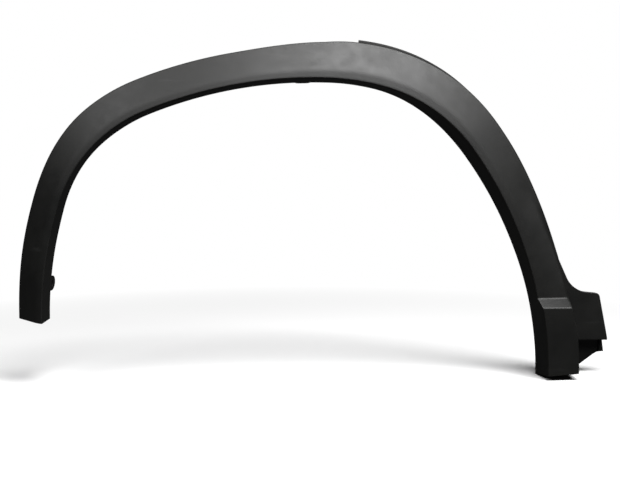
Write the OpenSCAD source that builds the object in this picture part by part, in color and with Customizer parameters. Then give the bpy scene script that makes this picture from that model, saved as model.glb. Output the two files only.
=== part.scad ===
// Wheel arch trim: one injection moulding in black plastic that frames a car's wheel opening.
// Seen from outside the car, along +Y: the outer face looks towards -Y, X runs along the car and Z is up.
// The origin is midway between the two lowest clip seats, in the plane that the clips seat on.
// A place on the arch is a number from 0, the left foot, to 6, the right foot: the whole part is the
// arc that it lies on, and the rest is the share of that arc. A section of the arch is drawn with t, the
// distance outwards from the crease at the wheel opening, and y, the depth.

/* [Arch line] */
// Radius of the crease along the left leg
leg_l_r = 620; // [560:5:700]
// Turn of the left leg, degrees
leg_l_turn = 18; // [15:0.5:21]
// Radius of the crease round the left shoulder
shoulder_l_r = 245; // [225:5:265]
// Turn of the left shoulder, degrees
shoulder_l_turn = 50; // [47:0.5:53]
// Radius of the crease on the rise to the top
rise_r = 730; // [680:5:780]
// Turn of the rise, degrees
rise_turn = 23.5; // [21:0.5:26]
// Radius of the crease over the top
top_r = 420; // [380:5:460]
// Turn of the top, degrees
top_turn = 12.5; // [10:0.5:15]
// Radius of the crease round the right shoulder
shoulder_r_r = 275; // [255:5:295]
// Turn of the right shoulder, degrees
shoulder_r_turn = 39.5; // [37:0.5:42]
// Radius of the crease along the right leg
leg_r_r = 640; // [580:5:700]
// Turn of the right leg, degrees
leg_r_turn = 37.45; // [35:0.05:39]

/* [Face] */
// Width of the face at the left foot
foot_l_w = 44; // [41:0.5:50]
// Width of the face above the left leg
leg_l_w = 48; // [44:0.5:54]
// Width of the face past the left shoulder
rise_w = 57; // [52:0.5:62]
// Width of the face where the rise ends
top_w = 65; // [61:0.5:69]
// Width of the face round the right shoulder
shoulder_r_w = 70; // [66:0.5:75]
// Width of the face along the right leg
leg_r_w = 61.5; // [60:0.5:66]
// Wall of the moulding
wall = 2.8; // [2:0.1:3.2]
// How far the crease stands out in front of the clip seats
crease_out = 34; // [30:0.5:38]
// How far the ridge lies behind the crease
ridge_back = 3.8; // [2:0.2:5]
// Share of the face between the crease and the ridge
ridge_share = 0.22; // [0.18:0.01:0.28]
// How far the outer edge stands out in front of the clip seats
edge_out = 5; // [4:0.5:8]
// Radius of the crease
crease_round = 2; // [1:0.2:4]
// Radius of the ridge
ridge_round = 45; // [20:1:60]
// Radius of the outer edge
edge_round = 3.5; // [2.4:0.1:4]

/* [Edges to the body] */
// Gap between the clip seats and the body panel, which the edge of the face reaches
panel_gap = 3; // [2:0.5:5]
// How far the return flange reaches back past the clip seats
flange_back = 2; // [0:0.5:6]
// Lean of the flange into the opening along the left leg, over its depth
lean_leg_l = 4.5; // [3:0.5:6]
// Lean of the flange at the left shoulder
lean_shoulder_l = 0.8; // [0.2:0.2:3]
// Lean of the flange over the top
lean_top = 2.4; // [1.6:0.2:4]
// Lean of the flange past the right shoulder
lean_shoulder_r = 9.6; // [7:0.2:11]
// Lean of the flange at the right foot
lean_foot_r = 2.8; // [1.6:0.2:4.6]
// Height of the sealing lip where it starts, above the outer edge
lip_h = 5; // [3:0.5:8]
// Thickness of the sealing lip
lip_t = 1.8; // [1.2:0.1:2.4]

/* [Left foot] */
// How far the foot's lower edge rises from its front to its back
foot_l_rise = 3.6; // [0:0.2:6]
// How far it rises from the crease to the outer edge
foot_l_side_rise = 2.4; // [0:0.2:5]

/* [Right foot] */
// Height of the raised block's front
block_h = 124; // [105:1:135]
// Height of the slope at the block's top
block_slope_h = 14; // [10:1:20]
// Width of the block at its top
block_w = 50; // [44:0.5:54]
// How much wider the block gets below its shoulder
block_step = 4; // [2:0.5:5]
// Radius of the block's outer edge
block_round = 2.6; // [1.4:0.2:4]
// How far the face falls back, just above the block, from the crease to the side
side_back = 3; // [2:0.5:8]
// Radius between the face and the side just above the block
side_round = 9; // [4:0.5:12]
// How far below its front's upper edge the block starts to widen
block_step_start = 16; // [10:1:20]
// Height over which it widens
block_step_run = 20; // [12:1:26]
// Height over which the slope turns into the flat face and the side above the block
side_run = 150; // [120:5:170]
// How far the block stands out in front of the crease
block_out = 18; // [12:0.5:22]
// Height of the tab's lower edge over the foot
tab_low = 60; // [52:0.5:70]
// Height of the tab's outer corner over the foot
tab_high = 142; // [134:0.5:152]
// Reach of the tab's upper corner from the crease
tab_reach = 107.5; // [100:0.5:118]
// How much further the tab's lower corner reaches
tab_splay = 17; // [8:0.5:22]
// How far the leg's edge flares out on its way down to the tab
tab_flare = 12; // [6:0.5:16]
// Radius of the hollow between the leg and the tab
tab_hollow_r = 45; // [30:1:52]
// Depth of the shelf behind the tab's lower edge, back to the tongue
shelf_d = 17; // [10:0.5:20]
// Height over which the edge behind the tab slopes back to the shelf
shelf_run = 30; // [20:1:40]
// How far the foot's lower edge drops from its front to its back
foot_drop = 7; // [0:0.5:9]
// How far it rises from the crease to the block's side
foot_side_rise = 3.5; // [0:0.5:5]

/* [Fixings] */
// Radius of a clip seat's hole
seat_r = 4.5; // [4:0.1:5]
// Width of the slot that a clip slides in by
seat_slot = 5.6; // [4.6:0.1:5.8]
// Thickness of a clip seat
seat_t = 2.5; // [2:0.1:3]
// Width of a clip tower across the face
tower_w = 22; // [20:0.5:24]
// Length of a clip tower along the arch
tower_l = 26; // [22:0.5:32]
// Wall of a clip tower
tower_wall = 2; // [1.6:0.1:2.2]
// Thickness of the ribs
rib_t = 1.8; // [1.2:0.1:2.4]
// Width of the left screw ear
ear_l_w = 25; // [22:0.5:32]
// Reach of the left screw ear behind the flange
ear_l_d = 19.5; // [16:0.5:26]
// Width of the top screw ear
ear_top_w = 26; // [22:0.5:36]
// Reach of the top screw ear behind the flange
ear_top_d = 8; // [7.5:0.5:14]
// Width of the slot in a screw ear
ear_slot_w = 5.4; // [4.5:0.1:5.8]
// Length of the slot in a screw ear
ear_slot_l = 10; // [7:0.5:13]

/* [Hidden] */
$fn = 48;
plastic = [0.16, 0.16, 0.165];
// How far a feature is sunk into the wall that carries it
sunk = 1;
// How much is trimmed off the end of a foot, so that its cut clears the swept ends
end_trim = 0.2;

// The arch line: radius and turn of each arc, from the left foot to the right one
ARCS = [[leg_l_r, leg_l_turn], [shoulder_l_r, shoulder_l_turn], [rise_r, rise_turn],
        [top_r, top_turn], [shoulder_r_r, shoulder_r_turn], [leg_r_r, leg_r_turn]];
LAST = len(ARCS);
// Heading of the crease at the left foot, 90 being straight up
START_HEADING = 90.5;

// Points, headings and lengths along the arch line
function arc_len(k) = ARCS[k][0] * ARCS[k][1] * PI / 180;
function heading_at_joint(k) = k == 0 ? START_HEADING : heading_at_joint(k - 1) - ARCS[k - 1][1];
function along_arc(p, h, r, a) = p + r * [sin(h) - sin(h - a), cos(h - a) - cos(h)];
function joint(k) =
    k == 0 ? [0, 0] : along_arc(joint(k - 1), heading_at_joint(k - 1), ARCS[k - 1][0], ARCS[k - 1][1]);
JOINTS = [for (k = [0 : LAST]) joint(k)];
HEADINGS = [for (k = [0 : LAST]) heading_at_joint(k)];
function arc_of(u) = min(floor(u), LAST - 1);
function turned(u) = (u - arc_of(u)) * ARCS[arc_of(u)][1];
function heading(u) = HEADINGS[arc_of(u)] - turned(u);
function raw_point(u) = along_arc(JOINTS[arc_of(u)], HEADINGS[arc_of(u)], ARCS[arc_of(u)][0], turned(u));
function outwards(u) = [-sin(heading(u)), cos(heading(u))];

// A place that lies a distance before the right foot's end
function before_foot(d) = LAST - d / arc_len(LAST - 1);

// The share of the way from a to b, at a place
function share(u, a, b) = min(max((u - a) / (b - a), 0), 1);

// Smooth curve through a table of places and values. Its slope at a row is the harmonic mean of the slopes
// beside the row, so that it never goes past the values.
function rate(table, k) = (table[k + 1][1] - table[k][1]) / (table[k + 1][0] - table[k][0]);
function slope_at(table, k) =
    let (a = k > 0 ? rate(table, k - 1) : 0, b = k < len(table) - 1 ? rate(table, k) : 0)
    a * b <= 0 ? 0 : 2 * a * b / (a + b);
function row_of(table, u, k = 0) =
    k >= len(table) - 2 || u < table[k + 1][0] ? k : row_of(table, u, k + 1);
function curve(table, u) =
    let (k = row_of(table, u), a = table[k], b = table[k + 1], d = b[0] - a[0], s = share(u, a[0], b[0]))
    a[1] * (1 + 2 * s) * (1 - s) * (1 - s) + slope_at(table, k) * d * s * (1 - s) * (1 - s)
    + b[1] * s * s * (3 - 2 * s) + slope_at(table, k + 1) * d * s * s * (s - 1);

// Width of the face and lean of the flange, by place
WIDTHS = [[0, foot_l_w], [0.6, (foot_l_w + 2 * leg_l_w) / 3], [1, leg_l_w], [1.65, rise_w], [2.5, rise_w],
          [3.05, top_w], [3.5, (top_w + 2 * shoulder_r_w) / 3], [4.4, shoulder_r_w],
          [5.05, shoulder_r_w - 2.5], [5.48, leg_r_w], [LAST, leg_r_w]];
LEANS = [[0, lean_leg_l], [0.8, lean_leg_l - 0.6], [1.42, lean_shoulder_l], [1.85, lean_top], [2.8, lean_top],
         [3.5, lean_top - 0.6], [3.9, lean_top - 0.6], [4.95, lean_shoulder_r], [5.35, lean_shoulder_r - 1.6],
         [5.7, (lean_shoulder_r + 4 * lean_foot_r) / 5], [LAST, lean_foot_r]];
function wide(u) = curve(WIDTHS, u);
function lean(u) = curve(LEANS, u);

// The place on the right leg where the distance t from the crease is reached at a height over the foot
FOOT_TILT = HEADINGS[LAST] + 90;
function level_place(h, t) =
    LAST - (asin((h + leg_r_r * sin(FOOT_TILT)) / (leg_r_r + t)) - FOOT_TILT) / leg_r_turn;

// The raised block on the right foot: its top, its front, where its side steps out, and what is left of the
// edge beside it below the tab
BLOCK_TOP = level_place(block_h + block_slope_h, 0);
BLOCK_FRONT = level_place(block_h, 0);
BLOCK_STEP = [before_foot(block_h - block_step_start),
              before_foot(block_h - block_step_start - block_step_run)];
SIDE_START = level_place(block_h + block_slope_h + side_run, 0);
SIDE_SHARE = 0.79;
side_rim = 5;
// The tab's lower edge, with the step in the outer edge there and the run of its slope down to the shelf
TAB_LOW = level_place(tab_low + 1, 0);
STEP_END = level_place(tab_low - 0.5, 0);
SHELF_START = before_foot(tab_low + shelf_run);

function near_block(u) = share(u, SIDE_START, BLOCK_TOP);
function raised(u) = share(u, BLOCK_TOP, BLOCK_FRONT);
function below_tab(u) = share(u, TAB_LOW, STEP_END);
function block_side(u) = block_w + block_step * share(u, BLOCK_STEP[0], BLOCK_STEP[1]);
function face_w(u) = wide(u) * (1 - below_tab(u)) + (block_side(u) + side_rim) * below_tab(u);
function edge_back(u) = panel_gap + (shelf_d - edge_out - panel_gap) * share(u, SHELF_START, TAB_LOW);

// The face: distance of the ridge from the crease, and depth of the slope outside it where no block is near
function ridge_t(u) = ridge_share * wide(u);
function slope_rate(u) = (crease_out - ridge_back - edge_out) / (wide(u) - ridge_t(u));
function slope_y(u, t) = ridge_back - crease_out + slope_rate(u) * (t - ridge_t(u));

// The ridge, which fades out towards the block, and the corner at the side. The corner lies on the slope
// where no block is near. Towards the block it comes out to the side, which runs straight from the block's
// front to the outer edge.
function ridge_y(u) =
    let (near = near_block(u), back = ridge_back * (1 - near) + near * side_back * ridge_share / 2)
    -crease_out + back * (1 - raised(u)) - raised(u) * block_out;
function side_y(u) = -crease_out + side_back * (1 - raised(u)) - raised(u) * block_out;
function side_at(u, y) =
    let (front = -crease_out - block_out, side = block_side(u))
    side + (face_w(u) - side) * (y - front) / (-edge_out - front);
function side_corner(u) =
    let (near = near_block(u), far_t = wide(u) * SIDE_SHARE, y = side_y(u))
    [far_t * (1 - near) + side_at(u, y) * near, slope_y(u, far_t) * (1 - near) + y * near];

// The face between the ridge and that corner
function face_rate(u) =
    let (side = side_corner(u)) (side[1] - ridge_y(u)) / (side[0] - ridge_t(u));
function face_y(u, t) = ridge_y(u) + face_rate(u) * (t - ridge_t(u));

// The ridge's radius, limited where the face gets narrow, and the radius at the side
function ridge_r(u) =
    let (bend = atan(face_rate(u)) - atan((ridge_y(u) + crease_out + raised(u) * block_out) / ridge_t(u)))
    bend < 0.1 ? ridge_round : min(ridge_round, 0.5 * ridge_t(u) / tan(bend / 2));
function side_r(u) = side_round * (1 - raised(u)) + block_round * raised(u);

// Corners of the section, each with its radius
function section_corners(u) =
    let (side = side_corner(u), w = face_w(u))
    [[-lean(u), flange_back, 0],
     [0, -crease_out - raised(u) * block_out, crease_round],
     [ridge_t(u), ridge_y(u), ridge_r(u)],
     [side[0], side[1], side_r(u)],
     [w, -edge_out, edge_round],
     [w, edge_back(u), 0]];

// Outward normal of the stretch from one corner to the next, the way that a corner moves when the two
// stretches beside it move outwards by 1, and the turn from one normal to another
function stretch_normal(a, b) = let (d = [b[0] - a[0], b[1] - a[1]]) [d[1], -d[0]] / norm(d);
function normals(c) = [for (i = [0 : len(c) - 2]) stretch_normal(c[i], c[i + 1])];
function mitre(n, m) = (n + m) / (1 + n * m);
function turn(n, m) =
    let (a = atan2(m[1], m[0]) - atan2(n[1], n[0]))
    a > 180 ? a - 360 : (a < -180 ? a + 360 : a);
// Points round one corner: steps is 0 for a sharp corner
function round_corner(c, n, m, steps) =
    let (start = atan2(n[1], n[0]), sweep = turn(n, m))
    steps == 0 ? [[c[0], c[1]]]
    : [for (i = [0 : steps])
           let (a = start + sweep * i / steps)
           [c[0], c[1]] - c[2] * mitre(n, m) + c[2] * [cos(a), sin(a)]];
// Points along a line of corners, each rounded in its own number of steps
function skin_of(c, steps) =
    let (n = normals(c))
    [for (i = [0 : len(c) - 1]) each round_corner(c[i], n[max(i - 1, 0)], n[min(i, len(n) - 1)], steps[i])];
// The corners moved inwards: a rounding loses that much of its radius and a hollow, below 0, gains it
least_round = 0.4;
function inset(c, d) =
    let (n = normals(c))
    [for (i = [0 : len(c) - 1])
        let (p = [c[i][0], c[i][1]] - d * mitre(n[max(i - 1, 0)], n[min(i, len(n) - 1)]))
        [p[0], p[1], c[i][2] < 0 ? c[i][2] - d : max(c[i][2] - d, least_round)]];

// Steps round each corner of the section, and the numbers of the points that they give: past the crease and
// the ridge, past the side, and past the outer edge
CORNER_STEPS = [0, 3, 2, 3, 3, 0];
PAST_RIDGE = 7;
PAST_SIDE = 11;
PAST_EDGE = 15;
function section_skin(u, d) = skin_of(inset(section_corners(u), d), CORNER_STEPS);
// The hollow's outline, sunk into the wall, from the crease up to one of those numbers
function sunk_outline(u, to) =
    let (line = section_skin(u, wall - sunk))
    [for (i = [1 : to]) line[i]];

// The clip seats: place on the arch and distance from the crease
CLIPS = [[0.31, 27], [1.15, 28], [2.05, 34], [2.6, 35], [3.45, 40], [4.35, 42], [5, 41], [5.614, 27]];
// The gussets: one above the left foot and two between each pair of clip seats
GUSSETS = [0.12,
           for (k = [1 : len(CLIPS) - 1], j = [1, 2]) (CLIPS[k - 1][0] * (3 - j) + CLIPS[k][0] * j) / 3];
gusset_d = 10;
// The screw ears, and the sealing lip from the top to past the right shoulder
EAR_LEFT = 0.33;
EAR_TOP = 2.88;
LIP = [3.53, 4.75];
// The ribs across the raised block: distances from the foot's end
BLOCK_RIBS = [42, 84];

// Points of the part: the origin is midway between the first and the last clip seat
function clip_raw(c) = raw_point(c[0]) + c[1] * outwards(c[0]);
ORIGIN = (clip_raw(CLIPS[0]) + clip_raw(CLIPS[len(CLIPS) - 1])) / 2;
function point(u) = raw_point(u) - ORIGIN;
function at(u, t) = point(u) + t * outwards(u);
FOOT = point(LAST);

// Puts a drawing in the section at a place: x is t, y is the depth and z runs back along the arch
module at_place(u) {
    p = point(u);
    translate([p[0], 0, p[1]]) rotate([0, atan2(-cos(heading(u)), -sin(heading(u))), 0]) children();
}

// Gives a drawing of X and Z a depth, from one y to another
module deep(y0, y1) {
    translate([0, y1, 0]) rotate([90, 0, 0]) linear_extrude(y1 - y0) children();
}

// Gives a drawing of the section a thickness along the arch, with its middle at a place
module across(u, thick) {
    at_place(u) translate([0, 0, -thick / 2]) linear_extrude(thick) children();
}

// Stations of the sweep: breaks in its course, and the steps between them
BREAKS = [0, 1, 2, 3, 4, 5, BLOCK_TOP, BLOCK_FRONT, BLOCK_STEP[0], BLOCK_STEP[1], TAB_LOW, STEP_END, LAST];
STEPS = [14, 18, 18, 7, 15, 17, 1, 1, 1, 2, 1, 3];
STATIONS = [for (k = [0 : len(STEPS) - 1], j = [0 : STEPS[k] - 1])
                BREAKS[k] + (BREAKS[k + 1] - BREAKS[k]) * j / STEPS[k],
            LAST];

// The channel: face, return flange, outer edge and raised block in one wall, swept along the arch line. Its
// rings stand square to the line, and turn towards the block until they are level.
function ring_place(u, t) =
    let (near = near_block(u)) near == 0 ? u : u * (1 - near) + level_place(point(u)[1] - FOOT[1], t) * near;
function ring(u) =
    let (skin = section_skin(u, 0), inner = section_skin(u, wall), last = len(skin) - 1,
         outline = [each skin, for (i = [last : -1 : 0]) inner[i]])
    [for (q = outline) let (p = at(ring_place(u, q[0]), q[0])) [p[0], q[1], p[1]]];
module channel() {
    rings = [for (u = STATIONS) ring(u)];
    n = len(rings[0]);
    far = (len(rings) - 1) * n;
    sides = [for (k = [0 : n : far - n], i = [0 : n - 1])
        let (a = k + i, b = k + (i + 1) % n)
        each [[a, b, b + n], [a, b + n, a + n]]];
    ends = [for (i = [0 : n / 2 - 2])
        let (b = i + 1, c = n - 2 - i, d = n - 1 - i)
        each [[i, d, c], [i, c, b], [far + i, far + c, far + d], [far + i, far + b, far + c]]];
    polyhedron(points = [for (r = rings) each r], faces = concat(sides, ends));
}

// Surfaces of the channel that the other features stand on: the back of the face and the inside of the flange
function back_y(u, t) = face_y(u, t) + wall * sqrt(1 + face_rate(u) * face_rate(u));
function root_y(u, t) = back_y(u, t) - sunk;
function flange_t(u, y) = wall - sunk - lean(u) * (y + crease_out) / (crease_out + flange_back);

// A clip tower: a bridge on the back of the face with an end wall, and a keyhole that the clip slides into
module clip_tower(clip) {
    u = clip[0];
    near = clip[1] - tower_w / 2;
    far = clip[1] + tower_w / 2;
    deepest = root_y(u, near) - tower_wall;
    spare = 1;
    at_place(u) difference() {
        translate([0, 0, -tower_l / 2]) linear_extrude(tower_l)
            polygon([[near, root_y(u, near)], [near, 0], [far, 0], [far, root_y(u, far)]]);
        translate([near + tower_wall, deepest, -tower_l / 2 - tower_wall])
            cube([tower_w - 2 * tower_wall, -seat_t - deepest, tower_l]);
        translate([clip[1], spare, 0]) rotate([90, 0, 0]) cylinder(r = seat_r, h = seat_t + 2 * spare);
        translate([clip[1] - seat_slot / 2, -seat_t - spare, -tower_l])
            cube([seat_slot, seat_t + 2 * spare, tower_l]);
    }
}

// A gusset between the return flange and the back of the face
module gusset(u) {
    end_t = ridge_t(u) + gusset_d;
    across(u, rib_t)
        polygon([[flange_t(u, -gusset_d), -gusset_d], each sunk_outline(u, PAST_RIDGE),
                 [end_t, root_y(u, end_t)]]);
}

// A screw ear: it carries on the flange's plane past its back edge, and has a slot for a screw
module ear_outline(w, d) {
    r = min(w / 2, d - 1);
    root = 6;
    least_slot_y = 3.4;
    slot_x = (ear_slot_l - ear_slot_w) / 2;
    slot_y = max(d - r, least_slot_y);
    difference() {
        union() {
            translate([-w / 2, -root]) square([w, root + d - r]);
            translate([r - w / 2, 0]) square([max(w - 2 * r, 0.1), d]);
            for (x = [r - w / 2, w / 2 - r]) translate([x, d - r]) circle(r);
        }
        translate([-slot_x, slot_y - ear_slot_w / 2]) square([2 * slot_x, ear_slot_w]);
        for (x = [-slot_x, slot_x]) translate([x, slot_y]) circle(ear_slot_w / 2);
    }
}
module screw_ear(u, w, d) {
    // The ear is thinner than the flange by this much on each side
    skin_off = 0.4;
    at_place(u) translate([-lean(u), flange_back, 0])
        rotate([0, 0, atan(lean(u) / (crease_out + flange_back))])
        translate([skin_off, 0, 0]) rotate([0, 90, 0]) linear_extrude(wall - 2 * skin_off) ear_outline(w, d);
}

// The sealing lip behind the outer edge: highest where it starts, and tapering away
module sealing_lip() {
    steps = 14;
    behind = 0.4;
    places = [for (i = [0 : steps]) LIP[0] + (LIP[1] - LIP[0]) * i / steps];
    deep(behind, behind + lip_t)
        polygon([for (u = places) at(u, face_w(u) + lip_h * (1 - pow(share(u, LIP[0], LIP[1]), 3))),
                 for (i = [steps : -1 : 0]) at(places[i], face_w(places[i]) - wall / 2 - 0.2 * i / steps)]);
}

// The right foot's tab: a shallow tray in front of the shelf, beside the leg. Its outline runs from the leg
// along the lower edge, up the outer side, along the top and through the hollow to the leg's outer edge.
TAB_FRONT = edge_out + 0.4;
TAB_SLOPE = 6;
TAB_TOP_ROUND = 8;
hollow_run = 57;
TAB_HOLLOW_TOP = before_foot(tab_high + hollow_run);
POCKET_TOP = before_foot(tab_high + hollow_run + 6);
TAB_STEPS = [0, 3, 6, 10, 0];
function cross_point(p, d, q, e) =
    p + d * ((q[0] - p[0]) * e[1] - (q[1] - p[1]) * e[0]) / (d[0] * e[1] - d[1] * e[0]);
function leg_edge(u) = at(u, face_w(u) - wall / 2);
function tab_corners() =
    let (upper = leg_edge(TAB_HOLLOW_TOP), lower = leg_edge(before_foot(tab_high)) + [tab_flare, 0],
         tip = FOOT + [tab_reach, tab_high],
         hollow = cross_point(upper, lower - upper, tip, [-cos(TAB_SLOPE), sin(TAB_SLOPE)]))
    [[at(TAB_LOW, block_w - side_rim)[0], FOOT[1] + tab_low, 0],
     [FOOT[0] + tab_reach + tab_splay, FOOT[1] + tab_low, wall + 0.5],
     [tip[0], tip[1], TAB_TOP_ROUND],
     [hollow[0], hollow[1], -tab_hollow_r],
     [upper[0], upper[1], 0]];
// The tab's side along the leg lies in the face's wall
function tab_root(top, t_in) =
    [for (i = [0 : 6]) let (u = top + (TAB_LOW - top) * i / 6) at(u, wide(u) - t_in)];
module tab() {
    corners = tab_corners();
    in_wall = wall - 0.4;
    pocket_in = 12;
    difference() {
        deep(-TAB_FRONT, panel_gap)
            polygon(concat(skin_of(corners, TAB_STEPS), tab_root(TAB_HOLLOW_TOP, in_wall)));
        deep(-TAB_FRONT + wall, panel_gap + 1)
            polygon(concat(skin_of(inset(corners, wall), TAB_STEPS), tab_root(POCKET_TOP, pocket_in)));
    }
}

// The shelf under the tab and the tongue that hangs from it, behind the tab and beside the block. The
// tongue's outer end slopes a little and is a thicker pad, and its lower edge runs down to the foot.
tongue_d = 24;
tongue_inset = 2;
tongue_taper = 3;
tongue_foot_w = 10;
pad_w = 9;
pad_t = 3;
pad_rim = 1.5;
module tongue() {
    reach = tab_reach + tab_splay;
    back = shelf_d - edge_out;
    top = FOOT[1] + tab_low;
    joined = top + wall - 0.4;
    low = top - tongue_d;
    foot_z = FOOT[1] + tongue_taper;
    inner_x = FOOT[0] + block_w;
    end_x = FOOT[0] + reach - tongue_inset;
    pad_x = end_x - pad_w;
    translate([inner_x, -edge_out, top - 0.2]) cube([reach - block_w - tongue_inset / 2, shelf_d, wall]);
    deep(back - wall, back)
        polygon([[inner_x, joined], [end_x - tongue_taper, joined], [end_x, low], [pad_x - tongue_inset, low],
                 [pad_x - pad_w, low - pad_t - 1], [FOOT[0] + block_side(LAST) + tongue_foot_w, foot_z],
                 [inner_x, foot_z]]);
    deep(back - wall - pad_t, back - wall / 2)
        polygon([[pad_x, top], [end_x - tongue_taper, top], [end_x - pad_rim, low + pad_rim],
                 [pad_x, low + pad_rim]]);
}

// The cut across each foot: its lower edge slopes from front to back and from the crease outwards
module on_left_slope() {
    at_place(0) translate([0, -crease_out, -1.5])
        rotate([-atan(foot_l_rise / (crease_out + flange_back)), atan(foot_l_side_rise / foot_l_w), 0])
        children();
}
module on_right_slope() {
    at_place(LAST) translate([0, flange_back, 0])
        rotate([-atan(foot_drop / (crease_out + block_out + flange_back)),
                -atan(foot_side_rise / block_w), 0])
        children();
}
module foot_cuts() {
    on_left_slope() translate([-foot_l_w, -foot_l_w, -end_trim])
        cube([3 * foot_l_w, 3 * foot_l_w, foot_l_w]);
    on_right_slope() translate([-block_w, -2 * block_w, end_trim - block_h])
        cube([2 * block_w + tab_reach, 3 * block_w, block_h]);
}

// The walls that close the two feet from below
module left_end_wall() {
    on_left_slope() translate([0, crease_out, -seat_t]) linear_extrude(seat_t)
        polygon([[flange_t(0, 0), 0], each sunk_outline(0, PAST_EDGE), [face_w(0) - wall + sunk, 0]]);
}
module foot_floor() {
    on_right_slope() translate([0, -flange_back, 0]) linear_extrude(seat_t)
        polygon([[flange_t(LAST, 0), 0], each sunk_outline(LAST, PAST_SIDE),
                 [face_w(LAST) - wall + sunk, 0]]);
}

// A rib across the inside of the raised block
module block_rib(d) {
    u = before_foot(d);
    rib_back = -14;
    side = side_at(u, 2 * rib_back) - wall + sunk;
    across(u, rib_t)
        polygon([[flange_t(u, rib_back), rib_back], each sunk_outline(u, PAST_SIDE),
                 [side, 2 * rib_back], [side / 2, 2.3 * rib_back]]);
}

module arch_moulding() {
    color(plastic) difference() {
        union() {
            channel();
            for (c = CLIPS) clip_tower(c);
            for (u = GUSSETS) gusset(u);
            for (d = BLOCK_RIBS) block_rib(d);
            left_end_wall();
            foot_floor();
            screw_ear(EAR_LEFT, ear_l_w, ear_l_d);
            screw_ear(EAR_TOP, ear_top_w, ear_top_d);
            sealing_lip();
            tab();
            tongue();
        }
        foot_cuts();
    }
}

arch_moulding();
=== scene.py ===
import math

import bmesh
import bpy
import numpy as np
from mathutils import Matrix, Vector


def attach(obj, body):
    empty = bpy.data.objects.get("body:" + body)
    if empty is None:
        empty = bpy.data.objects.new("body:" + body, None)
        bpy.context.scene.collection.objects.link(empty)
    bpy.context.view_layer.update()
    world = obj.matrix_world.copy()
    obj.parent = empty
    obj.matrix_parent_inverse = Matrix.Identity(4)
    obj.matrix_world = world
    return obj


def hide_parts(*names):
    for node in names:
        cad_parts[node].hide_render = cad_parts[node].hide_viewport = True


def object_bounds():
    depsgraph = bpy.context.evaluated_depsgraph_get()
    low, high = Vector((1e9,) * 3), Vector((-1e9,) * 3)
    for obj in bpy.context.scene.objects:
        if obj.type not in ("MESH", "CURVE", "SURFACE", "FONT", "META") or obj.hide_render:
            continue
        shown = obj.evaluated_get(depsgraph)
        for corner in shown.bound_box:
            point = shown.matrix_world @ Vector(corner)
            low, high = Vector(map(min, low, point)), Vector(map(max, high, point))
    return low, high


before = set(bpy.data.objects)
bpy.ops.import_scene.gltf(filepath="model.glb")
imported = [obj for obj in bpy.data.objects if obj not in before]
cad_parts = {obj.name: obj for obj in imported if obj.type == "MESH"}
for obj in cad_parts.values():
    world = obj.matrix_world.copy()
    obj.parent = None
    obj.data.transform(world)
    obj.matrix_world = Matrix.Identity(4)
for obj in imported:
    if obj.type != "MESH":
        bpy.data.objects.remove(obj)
cad_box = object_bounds()

# Camera
# It looks at the outside of the trim as the photo does: from the middle of the wheel opening, a little
# above it and turned slightly to the right.
camera = bpy.data.objects.new("camera", bpy.data.cameras.new("camera"))
camera.location = (-0.0817, -1.334, 0.1552)
camera.rotation_euler = (math.radians(90 - 3.49), 0, math.radians(-4.69))
camera.data.sensor_width = 36
camera.data.lens = 46.03
camera.data.clip_start = 0.01
bpy.context.scene.collection.objects.link(camera)
bpy.context.scene.camera = camera
bpy.context.scene.view_settings.view_transform = "Standard"

# The arch line
# The trim follows the edge of the wheel opening in six arcs that run into each other. A place on it is a
# number from 0, the left foot, to 6, the right foot. All sizes are in millimetres until a mesh is made.
ARCS = [(620, 18), (245, 50), (730, 23.5), (420, 12.5), (275, 39.5), (640, 37.45)]  # radius and angle
FIRST_HEADING = 90.5
radius = np.array([arc[0] for arc in ARCS], float)
turning = np.array([arc[1] for arc in ARCS], float)
arc_length = radius * np.radians(turning)
heading = np.concatenate(([FIRST_HEADING], FIRST_HEADING - np.cumsum(turning)))


def along_arc(start, angle, r, turned):
    """Points reached from a start that is left at an angle, along an arc that turns to the right."""
    a, b = np.radians(angle), np.radians(angle - turned)
    return start + np.stack((r * (np.sin(a) - np.sin(b)), r * (np.cos(b) - np.cos(a))), axis=-1)


joints = [np.zeros(2)]
for arc in range(6):
    joints.append(along_arc(joints[-1], heading[arc], radius[arc], turning[arc]))
joints = np.array(joints)


def line_at(place):
    """Points of the arch line and the directions outwards from it."""
    place = np.asarray(place, float)
    arc = np.clip(np.floor(place).astype(int), 0, 5)
    turned = (place - arc) * turning[arc]
    angle = np.radians(heading[arc] - turned)
    points = along_arc(joints[arc], heading[arc], radius[arc], turned)
    return points, np.stack((-np.sin(angle), np.cos(angle)), axis=-1)


def line_and_out(place, out):
    """Points at a distance out from the arch line."""
    points, outwards = line_at(place)
    return points + np.asarray(out, float)[..., None] * outwards


# Place and distance out of each clip seat. The frame's origin lies between the lowest two.
CLIPS = [(0.31, 27), (1.15, 28), (2.05, 34), (2.6, 35), (3.45, 40), (4.35, 42), (5, 41), (5.614, 27)]
seats = line_and_out([clip[0] for clip in CLIPS], [clip[1] for clip in CLIPS])
ORIGIN = (seats[0] + seats[-1]) / 2


def in_section(place, out, depth):
    """Points of the part from a place on the arch, a distance out from the crease and a depth."""
    flat = line_and_out(place, out) - ORIGIN
    return np.stack(np.broadcast_arrays(flat[..., 0], depth, flat[..., 1]), axis=-1)


FOOT = joints[6] - ORIGIN


def before_foot(distance):
    """The place at a distance along the last arc from the right foot."""
    return 6 - np.asarray(distance, float) / arc_length[5]


def level_place(height, out):
    """The place on the right leg whose section crosses a height over the foot, at a distance out."""
    tilt = math.radians(heading[6] + 90)
    angle = np.arcsin((np.asarray(height, float) + radius[5] * math.sin(tilt)) / (radius[5] + out))
    return 6 - np.degrees(angle - tilt) / turning[5]


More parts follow.
